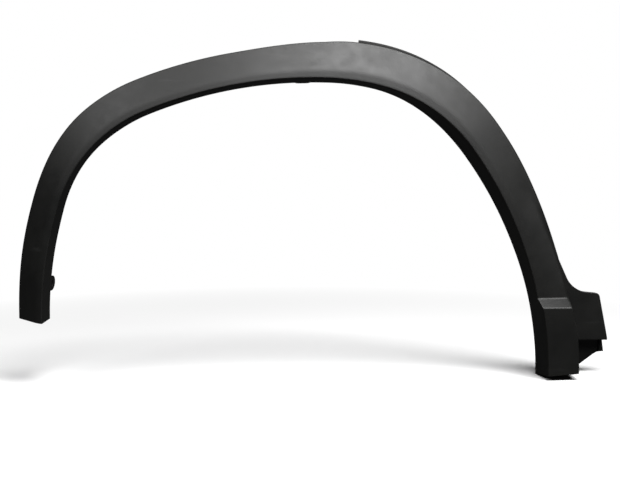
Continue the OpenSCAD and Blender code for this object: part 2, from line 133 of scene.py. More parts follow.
# The section
# The wall runs from the return flange round the crease at the wheel opening, over a soft ridge, down the
# sloping face and round the outer edge to the body panel. Its width and the flange's lean change slowly.
WALL = 2.8
CREASE_OUT, CREASE_R = 34, 2
RIDGE_SHARE, RIDGE_BACK, RIDGE_R, RIDGE_NEAR = 0.22, 3.8, 45, 0.11
SIDE_SHARE, SIDE_BACK, SIDE_R, SIDE_RUN = 0.79, 3, 9, 150
EDGE_OUT, EDGE_R = 5, 3.5
FLANGE_BACK, PANEL_GAP, END_R = 2, 3, 0.6
WIDTHS = [(0, 44), (0.6, 140 / 3), (1, 48), (1.65, 57), (2.5, 57), (3.05, 65), (3.5, 205 / 3), (4.4, 70),
          (5.05, 67.5), (5.48, 61.5), (6, 61.5)]
LEANS = [(0, 4.5), (0.8, 3.9), (1.42, 0.8), (1.85, 2.4), (2.8, 2.4), (3.5, 1.8), (3.9, 1.8), (4.95, 9.6),
         (5.35, 8), (5.7, 4.16), (6, 2.8)]


def smooth(rows, place):
    """A smooth curve through rows of place and value, which never goes past the values."""
    x, value = np.array(rows, float).T
    place = np.asarray(place, float)
    rate = np.diff(value) / np.diff(x)
    before, after = np.append(0, rate), np.append(rate, 0)
    both = np.where(before * after > 0, before + after, 1)
    slope = np.where(before * after > 0, 2 * before * after / both, 0)
    row = np.clip(np.searchsorted(x, place, side="right") - 1, 0, len(x) - 2)
    run = x[row + 1] - x[row]
    s = np.clip((place - x[row]) / run, 0, 1)
    return (value[row] * (1 + 2 * s) * (1 - s) ** 2 + slope[row] * run * s * (1 - s) ** 2
            + value[row + 1] * s * s * (3 - 2 * s) + slope[row + 1] * run * s * s * (s - 1))


def share(x, start, end, softened=0.0):
    """Share of the way from start to end, with its two bends softened over a length."""
    s = (np.asarray(x, float) - start) / (end - start)
    half = abs(softened / (end - start)) / 2
    if half == 0:
        return np.clip(s, 0, 1)
    area = [np.where(e < 0, 0, np.where(e > 1, e - 0.5, e * e / 2)) for e in (s - half, s + half)]
    return (area[1] - area[0]) / (2 * half)


def to_foot(place):
    """Distance along the last arc to the right foot."""
    return (6 - np.asarray(place, float)) * arc_length[5]


# The raised block at the right foot has a level slope on top. Its side corner is sharper than the plain one,
# its side steps out from 16 to 36 mm under the slope, and the outer edge forms a rim beside it.
BLOCK_H, BLOCK_SLOPE_H, BLOCK_W, BLOCK_OUT = 124, 14, 50, 18
BLOCK_SOFT, BLOCK_SHARPER, BLOCK_RIM = 3.2, 6.4, 5
BLOCK_STEP, STEP_FROM, STEP_TO, STEP_SOFT = 4, 16, 36, 6
BLOCK_TOP, BLOCK_FRONT = float(level_place(BLOCK_H + BLOCK_SLOPE_H, 0)), float(level_place(BLOCK_H, 0))
# Under the tab the outer edge comes in to that rim, and over 30 mm above it the wall deepens to the shelf.
TAB_LOW_H, SHELF_DEPTH, SHELF_RUN = 60, 17, 30
TAB_LOW, STEP_END = float(level_place(TAB_LOW_H + 1, 0)), float(level_place(TAB_LOW_H - 0.5, 0))


def near_block(place):
    """Share of the way down the leg to the block, over which the slope turns into a flat face and a side."""
    start = float(level_place(BLOCK_H + BLOCK_SLOPE_H + SIDE_RUN, 0))
    s = (np.asarray(place, float) - start) / (BLOCK_TOP - start)
    soft = 0.1
    return np.where(s < soft, np.maximum(s + soft, 0) ** 2 / (4 * soft), np.minimum(s, 1))


def raised(place):
    """Share of the block's full height, which is reached over its level slope."""
    return share(-to_foot(place), -to_foot(BLOCK_TOP), -to_foot(BLOCK_FRONT), BLOCK_SOFT)


def block_side(place):
    """Distance out to the side of the block's front, which steps outwards below the slope."""
    steps_out = share(-to_foot(place), STEP_FROM - BLOCK_H, STEP_TO - BLOCK_H, STEP_SOFT)
    return BLOCK_W + BLOCK_STEP * steps_out


def below_tab(place):
    """Share of the way through the step under the tab, where the outer edge comes in to the block."""
    return share(place, TAB_LOW, STEP_END)


def face_width(place):
    """Distance out to the outer edge."""
    low = below_tab(place)
    return smooth(WIDTHS, place) * (1 - low) + (block_side(place) + BLOCK_RIM) * low


def ridge_at(place):
    """Distance out to the ridge."""
    return RIDGE_SHARE * smooth(WIDTHS, place)


def ridge_depth(place):
    """Depth of the ridge. Near the block it lies back by only a share of what the side corner does."""
    near, up = near_block(place), raised(place)
    back = RIDGE_BACK * (1 - near) + RIDGE_NEAR * SIDE_BACK * near
    return -CREASE_OUT + back * (1 - up) - BLOCK_OUT * up


def side_at(place, depth):
    """Distance out to the block's side at a depth: it runs straight from the block's front to the edge."""
    front, side = -CREASE_OUT - BLOCK_OUT, block_side(place)
    return side + (face_width(place) - side) * (depth - front) / (-EDGE_OUT - front)


def side_corner(place):
    """The corner between the face and the side, which lies on the slope where no block is near."""
    near, up, far = near_block(place), raised(place), SIDE_SHARE * smooth(WIDTHS, place)
    plain_rate = (CREASE_OUT - RIDGE_BACK - EDGE_OUT) / (smooth(WIDTHS, place) - ridge_at(place))
    plain = RIDGE_BACK - CREASE_OUT + plain_rate * (far - ridge_at(place))
    depth = -CREASE_OUT + SIDE_BACK * (1 - up) - BLOCK_OUT * up
    return far * (1 - near) + side_at(place, depth) * near, plain * (1 - near) + depth * near


def face_rate(place):
    """How fast the face falls back from the ridge to the side corner."""
    side, depth = side_corner(place)
    return (depth - ridge_depth(place)) / (side - ridge_at(place))


def face_depth(place, out):
    """Depth of the face at a distance out."""
    return ridge_depth(place) + face_rate(place) * (out - ridge_at(place))


def ridge_radius(place):
    """The ridge's radius, made smaller where its rounding would reach more than half way to the crease."""
    least_bend = 0.002
    inside = (ridge_depth(place) + CREASE_OUT + BLOCK_OUT * raised(place)) / ridge_at(place)
    bend = np.maximum(np.arctan(face_rate(place)) - np.arctan(inside), least_bend)
    return np.minimum(RIDGE_R, 0.5 * ridge_at(place) / np.tan(bend / 2))


def section_corners(place):
    """Corners of the section with their radii: flange edge, crease, ridge, side, outer edge and panel edge.
    The middle of the wall's end comes before the first and after the last."""
    up, width, side = raised(place), face_width(place), side_corner(place)
    lean = smooth(LEANS, place)
    shelf_start = float(before_foot(TAB_LOW_H + SHELF_RUN))
    shelf = (SHELF_DEPTH - EDGE_OUT - PANEL_GAP) * share(place, shelf_start, TAB_LOW)
    one = np.ones_like(up)
    corner = [
        (-lean, FLANGE_BACK * one, END_R),
        (0 * one, -CREASE_OUT - up * BLOCK_OUT, CREASE_R),
        (ridge_at(place), ridge_depth(place), ridge_radius(place)),
        (*side, SIDE_R - BLOCK_SHARPER * up),
        (width, -EDGE_OUT * one, EDGE_R),
        (width, PANEL_GAP + shelf, END_R)]
    into_wall = np.stack((np.sqrt(1 / (1 + (lean / (CREASE_OUT + FLANGE_BACK)) ** 2)), 0 * one), axis=-1)
    points = [np.stack((c[0], c[1]), axis=-1) for c in corner]
    points = [points[0] + WALL / 2 * into_wall, *points, points[-1] - [WALL / 2, 0]]
    radii = [0 * one, *(c[2] * one for c in corner), 0 * one]
    return np.stack(points, axis=1), np.stack(radii, axis=1)


def normals_of(points):
    """Outward normals of the stretches, those before and after each corner, and the corner's mitre."""
    step = np.diff(points, axis=1)
    normal = np.stack((step[..., 1], -step[..., 0]), axis=-1)
    normal /= np.linalg.norm(normal, axis=-1, keepdims=True)
    before = np.concatenate((normal[:, :1], normal), axis=1)
    after = np.concatenate((normal, normal[:, -1:]), axis=1)
    return normal, before, after, (before + after) / (1 + (before * after).sum(axis=-1, keepdims=True))


def moved_in(points, radii, by):
    """The corners and their radii at a distance inside the wall's outer face."""
    smallest = 0.4
    return points - by * normals_of(points)[3], np.maximum(radii - by, smallest)


def round_off(points, radii, steps, flats, shortest):
    """Rounds a line of corners and adds points between them. Gives the points and their outward normals.
    Steps are counted in each corner and flats between corners. Shortest is a rounding's least reach."""
    straight_turn = 0.02
    normal, before, after, mitre = normals_of(points)
    start = np.arctan2(before[..., 1], before[..., 0])
    sweep = np.arctan2(after[..., 1], after[..., 0]) - start
    sweep = (sweep + np.pi) % (2 * np.pi) - np.pi
    line, facing = [], []
    for i in range(points.shape[1]):
        if steps[i] == 0:
            arc, arc_normal = points[:, i:i + 1], mitre[:, i:i + 1]
        else:
            s = np.linspace(0, 1, steps[i] + 1)
            angle = start[:, i:i + 1] + sweep[:, i:i + 1] * s
            out = np.stack((np.cos(angle), np.sin(angle)), axis=-1)
            turn, least = np.abs(sweep[:, i]), shortest[i] * np.ones(len(points))
            bend = np.where(sweep[:, i] < 0, -1, 1) if radii[0, i] < 0 else 1
            size = least / np.tan(np.maximum(turn, straight_turn) / 2)
            size = np.maximum(np.abs(radii[:, i]), size) * bend
            arc = points[:, i:i + 1] + size[:, None, None] * (out - mitre[:, i:i + 1])
            along = np.stack((-mitre[:, i, 1], mitre[:, i, 0]), axis=-1) * least[:, None]
            straight = points[:, i:i + 1] + (2 * s[None, :, None] - 1) * along[:, None, :]
            flat = (turn < straight_turn)[:, None, None]
            arc = np.where(flat, straight, arc)
            arc_normal = np.where(flat, mitre[:, i:i + 1] * np.ones_like(out), out)
        if i > 0 and flats[i - 1] > 1:
            s = np.linspace(0, 1, flats[i - 1] + 1)[1:-1, None]
            line.append(line[-1][:, -1:] * (1 - s) + arc[:, :1] * s)
            facing.append(np.repeat(normal[:, i - 1:i], len(s), axis=1))
        line.append(arc)
        facing.append(arc_normal)
    return np.concatenate(line, axis=1), np.concatenate(facing, axis=1)


# The moulded channel
# It is one wall of black grained polypropylene, injected in a single shot. Near each foot the section leans
# over so that it ends on that foot's sloping cut, with a small rounding there.
def foot_cut(place, out, depth):
    """How far along the arch a foot's cut lies at a point of the section, from the foot's end. The right cut
    rises 3.5 over 50 outwards and 7 over 54 forwards, the left 2.4 over 44 outwards and 3.6 over 36 back."""
    right = out * 3.5 / 50 - (depth - FLANGE_BACK) * 7 / 54 + 0.2
    left = 1.7 + out * 2.4 / 44 + (depth + CREASE_OUT) * 3.6 / 36
    return np.where(place > 3, right, left)


def swept(place, out, depth):
    """Points of the section put on the arch. Sections turn level towards the block, and the last stretch
    before a foot leans to its cut."""
    reach = 30
    from_end = np.where(place > 3, to_foot(place), place * arc_length[0])
    lean = foot_cut(place, out, depth) * np.clip(1 - from_end / reach, 0, 1)
    near = near_block(place) * np.clip(from_end / reach, 0, 1)
    height = line_at(place)[0][..., 1] - joints[6][1]
    level = place * (1 - near) + level_place(height, out) * near
    moved = np.where(place > 3, level - lean / arc_length[5], place + lean / arc_length[0])
    return in_section(moved, out, depth)


# The sections stand closer together at the feet, at the step under the tab and over the block's slope.
ROUNDING, END_CLEAR, SPACING, HAIR = 1.0, 6, 3.4, 0.0015
FINE_FROM, FINE_TO, FINE_SPACING = 86, 144, 0.9
end_steps = ROUNDING * (1 - np.sin(np.radians([90, 67.5, 45, 22.5, 0])))
stations = [end_steps / arc_length[0], before_foot(end_steps)]
stations.append(np.array([2.5, 5]) / arc_length[0])
stations.append(before_foot([2.5, 5]))
stations.append(np.array([TAB_LOW - HAIR, TAB_LOW, STEP_END, STEP_END + HAIR]))
stations.append(before_foot(np.arange(FINE_FROM, FINE_TO, FINE_SPACING)))
for arc in range(6):
    count = int(arc_length[arc] / SPACING)
    extra = arc + np.arange(count + 1) / count
    stations.append(extra[(extra * arc_length[0] > END_CLEAR) & (to_foot(extra) > END_CLEAR)])
stations = np.unique(np.round(np.concatenate(stations), 7))
rough_arc, too_close = 200, 0.04
stations = stations[np.append(True, np.diff(stations) * rough_arc > too_close)]
stations[-1] = 6
from_end = np.minimum(stations * arc_length[0], to_foot(stations))
tucked = ROUNDING - np.sqrt(np.maximum(ROUNDING ** 2 - np.maximum(ROUNDING - from_end, 0) ** 2, 0))

corners, radii = section_corners(stations)
RIDGE_BEND, SIDE_BEND, BLOCK_BEND, EDGE_BEND = 3, 4.5, 2, 0.4
side_bend = SIDE_BEND - (SIDE_BEND - BLOCK_BEND) * raised(stations)
outer, facing = round_off(corners, radii, [0, 2, 7, 12, 8, 6, 2, 0], [1, 6, 3, 6, 6, 3, 1],
                          [0, EDGE_BEND, 0, RIDGE_BEND, side_bend, EDGE_BEND, EDGE_BEND, 0])
outer = outer - tucked[:, None, None] * facing
inner = round_off(*moved_in(corners[:, 1:-1], radii[:, 1:-1], WALL), [0, 3, 8, 5, 4, 0],
                  [4, 2, 4, 3, 2], [0, 0, RIDGE_BEND, side_bend, 0, 0])[0]
ring = np.concatenate((outer, inner[:, ::-1]), axis=1)
channel_points = swept(stations[:, None], ring[..., 0], ring[..., 1])


def solid(name, rings):
    """A closed mesh from rings of points that have equal counts, with both ends capped. It is in metres."""
    rings = np.asarray(rings, float) * 0.001
    count, size = rings.shape[:2]
    faces = []
    for k in range(count - 1):
        for i in range(size):
            j = (i + 1) % size
            faces.append((k * size + i, k * size + j, (k + 1) * size + j, (k + 1) * size + i))
    faces.append(tuple(range(size - 1, -1, -1)))
    faces.append(tuple((count - 1) * size + i for i in range(size)))
    mesh = bpy.data.meshes.new(name)
    mesh.from_pydata([tuple(p) for p in rings.reshape(-1, 3)], [], faces)
    work = bmesh.new()
    work.from_mesh(mesh)
    bmesh.ops.recalc_face_normals(work, faces=work.faces)
    work.to_mesh(mesh)
    work.free()
    piece = bpy.data.objects.new(name, mesh)
    bpy.context.scene.collection.objects.link(piece)
    return piece


def join(name, pieces):
    """One mesh from pieces, each of which stays a closed shell of its own."""
    work = bmesh.new()
    for piece in pieces:
        work.from_mesh(piece.data)
        bpy.data.objects.remove(piece)
    mesh = bpy.data.meshes.new(name)
    work.to_mesh(mesh)
    work.free()
    joined = bpy.data.objects.new(name, mesh)
    bpy.context.scene.collection.objects.link(joined)
    return joined


def carve(piece, other, how):
    """Unites a piece with another, or cuts the other from it. The other one is used up."""
    change = piece.modifiers.new("change", "BOOLEAN")
    change.operation, change.object, change.solver = how, other, "MANIFOLD"
    result = bpy.data.meshes.new_from_object(piece.evaluated_get(bpy.context.evaluated_depsgraph_get()))
    piece.modifiers.clear()
    piece.data = result
    bpy.data.objects.remove(other)


trim = solid("arch_trim", channel_points)

# The clip seats
# Eight bridges stand on the back of the face, where no one sees them. A push clip slides into each
# keyhole by its slot and is then pressed into the body.
SUNK = 1
TOWER_W, TOWER_L, TOWER_WALL, SEAT_T, SEAT_R, SEAT_SLOT = 22, 26, 2, 2.5, 4.5, 5.6


def root_depth(place, out):
    """Depth a little inside the back of the face's wall, where a piece on it takes root."""
    return face_depth(place, out) + WALL * np.sqrt(1 + face_rate(place) ** 2) - SUNK


def local(place, points):
    """Points of a drawing in the section at a place: out, depth and distance back along the arch."""
    points = np.asarray(points, float)
    base, outwards = line_at(place)
    back = np.array([-outwards[1], outwards[0]])
    flat = base - ORIGIN + points[..., 0:1] * outwards + points[..., 2:3] * back
    return np.stack((flat[..., 0], points[..., 1], flat[..., 1]), axis=-1)


def circle(middle, r, count, start, end):
    """Points on a circle from one angle to another."""
    angle = np.radians(np.linspace(start, end, count))
    return np.stack((middle[0] + r * np.cos(angle), middle[1] + r * np.sin(angle)), axis=-1)


def soften(piece, width):
    """Rounds the sharp edges of a small piece a little, as they leave the mould."""
    work = bmesh.new()
    work.from_mesh(piece.data)
    sharp = [e for e in work.edges if e.is_manifold and e.calc_face_angle() > 0.6]
    bmesh.ops.bevel(work, geom=sharp, offset=width * 0.001, segments=2, profile=0.5, affect="EDGES")
    work.to_mesh(piece.data)
    work.free()
    return piece


towers, hollows, holes = [], [], []
for place, out in CLIPS:
    near, far, half = out - TOWER_W / 2, out + TOWER_W / 2, TOWER_L / 2
    outline = [(near, root_depth(place, near)), (near, 0), (far, 0), (far, root_depth(place, far))]
    towers.append(solid("tower", [local(place, [(x, y, z) for x, y in outline]) for z in (-half, half)]))
    soften(towers[-1], 0.5)
    deepest = root_depth(place, near) - TOWER_WALL
    near, far = near + TOWER_WALL, far - TOWER_WALL
    outline = [(near, deepest), (near, -SEAT_T), (far, -SEAT_T), (far, deepest)]
    z_ends = (-half - TOWER_WALL, half - TOWER_WALL)
    hollows.append(solid("hollow", [local(place, [(x, y, z) for x, y in outline]) for z in z_ends]))
    neck = math.degrees(math.asin(SEAT_SLOT / 2 / SEAT_R))
    keyhole = [*circle((out, 0), SEAT_R, 37, -90 + neck, 270 - neck), (out - SEAT_SLOT / 2, -TOWER_L),
               (out + SEAT_SLOT / 2, -TOWER_L)]
    holes.append(solid("keyhole", [local(place, [(x, y, z) for x, z in keyhole]) for y in (-SEAT_T - 1, 1)]))
towers = join("towers", towers)
carve(towers, join("hollows", hollows), "DIFFERENCE")
carve(towers, join("keyholes", holes), "DIFFERENCE")
carve(trim, towers, "UNION")

# The gussets and the block's ribs
# Thin webs hold the return flange square to the face, and two more stiffen the raised block from inside.
RIB_T, GUSSET_BACK, GUSSET_PAST = 1.8, 10, 10
RIBS_AT, RIB_BACK, RIB_SIDE, RIB_MIDDLE = (42, 84), 14, 28, 32.2
SUNK_STEPS = [0, 3, 8, 4, 4, 0]
PAST_RIDGE, PAST_SIDE, PAST_EDGE = np.cumsum(np.add(SUNK_STEPS, 1))[2:5]
gussets = [0.12]
for k in range(1, len(CLIPS)):
    gussets += [(CLIPS[k - 1][0] * (3 - j) + CLIPS[k][0] * j) / 3 for j in (1, 2)]


def sunk_line(place, last):
    """The back of the wall at a place, a little inside it, from the crease to a corner of the section."""
    corner, radius_at = section_corners(np.array([place], float))
    line = round_off(*moved_in(corner[:, 1:-1], radius_at[:, 1:-1], WALL - SUNK), SUNK_STEPS,
                     [1] * 5, [0, 0, RIDGE_BEND, BLOCK_BEND, 0, 0])[0][0]
    return [tuple(p) for p in line[1:last]]


def flange_out(place, depth):
    """Distance out to a line a little inside the flange's inner face."""
    return WALL - SUNK - smooth(LEANS, place) * (depth + CREASE_OUT) / (CREASE_OUT + FLANGE_BACK)


def web(place, outline):
    """A thin web that stands across the arch at a place."""
    outline = [(float(x), float(y)) for x, y in outline]
    rings = [local(place, [(x, y, z) for x, y in outline]) for z in (-RIB_T / 2, RIB_T / 2)]
    return solid("web", rings)


webs = []
for place in gussets:
    end = ridge_at(place) + GUSSET_PAST
    webs.append(web(place, [(flange_out(place, -GUSSET_BACK), -GUSSET_BACK), *sunk_line(place, PAST_RIDGE),
                            (end, root_depth(place, end))]))
for distance in RIBS_AT:
    place = float(before_foot(distance))
    side = float(side_at(place, -RIB_SIDE)) - WALL + SUNK
    webs.append(web(place, [(flange_out(place, -RIB_BACK), -RIB_BACK), *sunk_line(place, PAST_SIDE),
                            (side, -RIB_SIDE), (side / 2, -RIB_MIDDLE)]))
carve(trim, join("webs", webs), "UNION")

# The feet
# A wall closes each foot from below, on the slope that the foot is cut to, so that no water is thrown
# up behind the trim.
FOOT_WALL = 2.3
for place, last in ((0.0, PAST_EDGE), (6.0, PAST_SIDE)):
    edge = float(face_width(place)) - WALL + SUNK
    outline = np.array([(float(flange_out(place, 0)), 0), *sunk_line(place, last), (edge, 0)])
    rings = []
    for up in (0.0, FOOT_WALL):
        along = foot_cut(place, outline[:, 0], outline[:, 1]) + up
        moved = before_foot(along) if place > 3 else along / arc_length[0]
        rings.append(in_section(moved, outline[:, 0], outline[:, 1]))
    carve(trim, solid("foot_wall", rings), "UNION")

# The screw ears
# Two rounded ears carry on the flange past its back edge. A screw through each slot holds the edge of the
# wheel housing liner.
EAR_ROOT, EAR_INSET, SLOT_HALF, SLOT_R, SLOT_LEAST = 6, 0.4, 2.3, 2.7, 3.4
for place, width, reach in ((0.33, 25, 19.5), (2.88, 26, 8)):
    r = min(width / 2, reach - 1)
    half = width / 2 - r
    outline = [(-width / 2, -EAR_ROOT), (width / 2, -EAR_ROOT), *circle((half, reach - r), r, 19, 0, 90),
               *circle((-half, reach - r), r, 19, 90, 180)]
    slot_middle = max(reach - r, SLOT_LEAST)
    slot = [*circle((SLOT_HALF, slot_middle), SLOT_R, 19, -90, 90),
            *circle((-SLOT_HALF, slot_middle), SLOT_R, 19, 90, 270)]
    lean = float(smooth(LEANS, place))
    tilt = math.atan(lean / (CREASE_OUT + FLANGE_BACK))

    def on_flange(points, off):
        """Points of the ear's drawing on the plane of the flange: off is the distance into its wall."""
        return local(place, [(-lean + off * math.cos(tilt) - y * math.sin(tilt),
                              FLANGE_BACK + off * math.sin(tilt) + y * math.cos(tilt), -x)
                             for x, y in points])

    faces = [on_flange(outline, EAR_INSET), on_flange(outline, WALL - EAR_INSET)]
    ear = soften(solid("ear", faces), 0.4)
    carve(ear, solid("slot", [on_flange(slot, -1), on_flange(slot, WALL + 1)]), "DIFFERENCE")
    carve(trim, ear, "UNION")

# The sealing lip
# A thin lip stands up behind the outer edge on the rear half and closes the gap to the bumper's corner.
# It starts square and runs out to nothing past the shoulder.
LIP_START, LIP_END, LIP_H, LIP_BACK, LIP_FRONT, LIP_SINKS = 3.53, 4.75, 5, 2.2, 0.4, 0.2
places = np.linspace(LIP_START, LIP_END, 60)
lip_top = face_width(places) + LIP_H * (1 - share(places, LIP_START, LIP_END) ** 3)
lip_low = face_width(places) - WALL / 2 - LIP_SINKS * share(places, LIP_START, LIP_END)
lip_rings = []
for k, place in enumerate(places):
    top, low = lip_top[k], lip_low[k]
    bend = min(0.5, (top - low) / 4)
    corner = 0.3 * bend
    outline = [(low, LIP_BACK), (low, LIP_FRONT), (top - bend, LIP_FRONT),
               (top - corner, LIP_FRONT + corner), (top, LIP_FRONT + bend),
               (top, LIP_BACK - bend), (top - corner, LIP_BACK - corner), (top - bend, LIP_BACK)]
    lip_rings.append(in_section(place, [p[0] for p in outline], [p[1] for p in outline]))
carve(trim, solid("lip", lip_rings), "UNION")

# The tab beside the right foot
# A shallow tray reaches out from the leg over the bumper's corner. Its front edges are rounded, it is
# hollow behind, and a soft fillet runs into the leg's slope.
TAB_HIGH, TAB_REACH, TAB_SPLAY, TAB_FLARE, TAB_FRONT = 142, 107.5, 17, 12, EDGE_OUT + 0.4
TAB_SLOPE, TIP_R, HOLLOW_R, HOLLOW_H, POCKET_H = 6, 8, 45, 57, 63
IN_WALL, POCKET_IN, TAB_ROUND, TAB_BACK_ROUND = WALL - 0.4, 12, 1.5, 0.5
hollow_top, pocket_top = float(before_foot(TAB_HIGH + HOLLOW_H)), float(before_foot(TAB_HIGH + POCKET_H))


def plane_point(place, out):
    """A point of the front view, at a distance out from a place on the arch."""
    return line_and_out(place, out) - ORIGIN


upper = plane_point(hollow_top, float(face_width(hollow_top)) - WALL / 2)
beside = float(before_foot(TAB_HIGH))
lower = plane_point(beside, float(face_width(beside)) - WALL / 2) + [TAB_FLARE, 0]
tip = FOOT + [TAB_REACH, TAB_HIGH]
d, e = lower - upper, np.array([-math.cos(math.radians(TAB_SLOPE)), math.sin(math.radians(TAB_SLOPE))])
bend = upper + d * ((tip[0] - upper[0]) * e[1] - (tip[1] - upper[1]) * e[0]) / (d[0] * e[1] - d[1] * e[0])
tab_corners = np.array([[(plane_point(TAB_LOW, BLOCK_W - 5)[0], FOOT[1] + TAB_LOW_H),
                         (FOOT[0] + TAB_REACH + TAB_SPLAY, FOOT[1] + TAB_LOW_H), tuple(tip), tuple(bend),
                         tuple(upper)]])
tab_line, tab_out = round_off(tab_corners, np.array([[0, WALL + 0.5, TIP_R, -HOLLOW_R, 0.0]]),
                              [0, 8, 14, 30, 0], [8, 6, 6, 8], [0, 0, 0, 0, 0])
tab_line, tab_out = tab_line[0], tab_out[0]


def tab_ring(depth, inwards, top, in_wall):
    """The tab's outline moved inwards, closed along the leg inside the face's wall."""
    back = np.linspace(top, TAB_LOW, 20)
    leg = plane_point(back, smooth(WIDTHS, back) - in_wall)
    flat = np.concatenate((tab_line - inwards * tab_out, leg))
    return np.insert(flat, 1, depth, axis=1)


rings = [tab_ring(PANEL_GAP, TAB_BACK_ROUND, hollow_top, IN_WALL),
         tab_ring(PANEL_GAP - TAB_BACK_ROUND, 0, hollow_top, IN_WALL)]
for angle in np.radians([0, 18, 36, 54, 72, 90]):
    rings.append(tab_ring(-TAB_FRONT + TAB_ROUND * (1 - math.sin(angle)), TAB_ROUND * (1 - math.cos(angle)),
                          hollow_top, IN_WALL))
rings.append(tab_ring(-TAB_FRONT, TAB_ROUND + 0.4, hollow_top, IN_WALL))
tab = solid("tab", rings)
pocket = solid("pocket", [tab_ring(-TAB_FRONT + WALL, WALL, pocket_top, POCKET_IN),
                          tab_ring(PANEL_GAP + 1, WALL, pocket_top, POCKET_IN)])
carve(tab, pocket, "DIFFERENCE")
carve(trim, tab, "UNION")

# The fillet grows from the hollow down to the tab's top and is smaller beside the block. Its ends lie a hair
# behind the faces that it joins.
FILLET_RUN, FILLET_LEAST, FILLET_SOFT, BLOCK_LESS, FILLET_SINKS = 7, 0.2, 12, 0.6, 0.03
FILLET_FROM, FILLET_FULL = TAB_HIGH + 40, TAB_HIGH - 12
places = np.linspace(hollow_top, TAB_LOW, 60)
side = side_corner(places)
rate = (-EDGE_OUT - side[1]) / (face_width(places) - side[0])
meet = face_width(places) - (TAB_FRONT - EDGE_OUT) / rate
half = np.arctan(rate) / 2
run = FILLET_RUN * share(-to_foot(places), -FILLET_FROM, -FILLET_FULL, FILLET_SOFT)
run = run * (1 - BLOCK_LESS * raised(places)) + FILLET_LEAST
fillet_rings = []
for k, place in enumerate(places):
    s = np.linspace(-1, 1, 11) * half[k]
    r = run[k] / math.tan(half[k])
    centre = (meet[k] + run[k], -TAB_FRONT - r)
    turn_to = np.pi / 2 + half[k] + s[::-1]
    arc = [(centre[0] + r * math.cos(a), centre[1] + r * math.sin(a) + FILLET_SINKS) for a in turn_to]
    root = run[k] * 0.4
    outline = [*arc, (meet[k] + root, -TAB_FRONT + 1.2), (meet[k] - root, -TAB_FRONT + 0.9)]
    fillet_rings.append(in_section(place, [p[0] for p in outline], [p[1] for p in outline]))
carve(trim, solid("fillet", fillet_rings), "UNION")

# The shelf and the tongue
# Under the tab the wall steps back to a shelf, and a flat tongue hangs from it beside the block. Its outer
# end is a thicker pad that rests on the bumper's bracket.
inner_x, end_x = FOOT[0] + BLOCK_W, FOOT[0] + TAB_REACH + TAB_SPLAY - 2
shelf_back, under = SHELF_DEPTH - EDGE_OUT, FOOT[1] + TAB_LOW_H


def plate(name, outline, front, back, width):
    """A flat plate between two depths, with its edges rounded over a width."""
    rings = [[(x, y, z) for x, z in outline] for y in (front, back)]
    return soften(solid(name, rings), width)


shelf = [(inner_x, under - 0.2), (end_x + 1, under - 0.2), (end_x + 1, under + WALL - 0.2),
         (inner_x, under + WALL - 0.2)]
shelf = plate("shelf", shelf, -EDGE_OUT, shelf_back, 0.3)
tongue = [(inner_x, under + 2.4), (end_x - 3, under + 2.4), (end_x, under - 23), (end_x - 11, under - 24),
          (end_x - 18, under - 28), (FOOT[0] + 64, FOOT[1] + 3), (inner_x, FOOT[1] + 3)]
carve(shelf, plate("tongue", tongue, shelf_back - WALL, shelf_back - 0.05, 0.5), "UNION")
pad = [(end_x - 9, under), (end_x - 3.5, under), (end_x - 0.5, under - 22.5), (end_x - 9, under - 22.5)]
carve(shelf, plate("pad", pad, shelf_back - WALL - 3, shelf_back - WALL / 2, 0.5), "UNION")

# The shelf runs on into the block's wall as a closed shell of its own, because a union of the two fails.
trim = join("arch_trim", [trim, shelf])

SHARP_ANGLE = 33
for face in trim.data.polygons:
    face.use_smooth = True
trim.data.set_sharp_from_angle(angle=math.radians(SHARP_ANGLE))

# Black grained plastic
# The moulding is polypropylene dyed through, with the fine matt grain of the tool's surface. It has gone a
# little grey where hands and washing have rubbed it, and carries a few faint scuffs.
plastic = bpy.data.materials.new("black_plastic")
plastic.use_nodes = True
nodes, links = plastic.node_tree.nodes, plastic.node_tree.links
shader = nodes["Principled BSDF"]
place_in = nodes.new("ShaderNodeTexCoord")


def noise(scale, detail, vector=place_in.outputs["Object"]):
    node = nodes.new("ShaderNodeTexNoise")
    node.inputs["Scale"].default_value = scale
    node.inputs["Detail"].default_value = detail
    links.new(vector, node.inputs["Vector"])
    return node.outputs["Fac"]


def ranged(value, low, high, to_low, to_high):
    node = nodes.new("ShaderNodeMapRange")
    for name, number in (("From Min", low), ("From Max", high), ("To Min", to_low), ("To Max", to_high)):
        node.inputs[name].default_value = number
    links.new(value, node.inputs["Value"])
    return node.outputs["Result"]


def maths(how, a, b):
    node = nodes.new("ShaderNodeMath")
    node.operation = how
    for socket, value in zip(node.inputs, (a, b)):
        if isinstance(value, (int, float)):
            socket.default_value = value
        else:
            links.new(value, socket)
    return node.outputs["Value"]


def bevelled(radius):
    """The surface's direction with its corners rounded over a radius in metres."""
    node = nodes.new("ShaderNodeBevel")
    node.samples = 6
    node.inputs["Radius"].default_value = radius
    return node.outputs["Normal"]


cloudy = noise(9, 4)
fine_cloud = noise(60, 5)
tint = nodes.new("ShaderNodeMix")
tint.data_type = "RGBA"
tint.inputs["A"].default_value = (0.0048, 0.0050, 0.0046, 1)
tint.inputs["B"].default_value = (0.0078, 0.0078, 0.0070, 1)
links.new(ranged(cloudy, 0.35, 0.65, 0, 1), tint.inputs["Factor"])

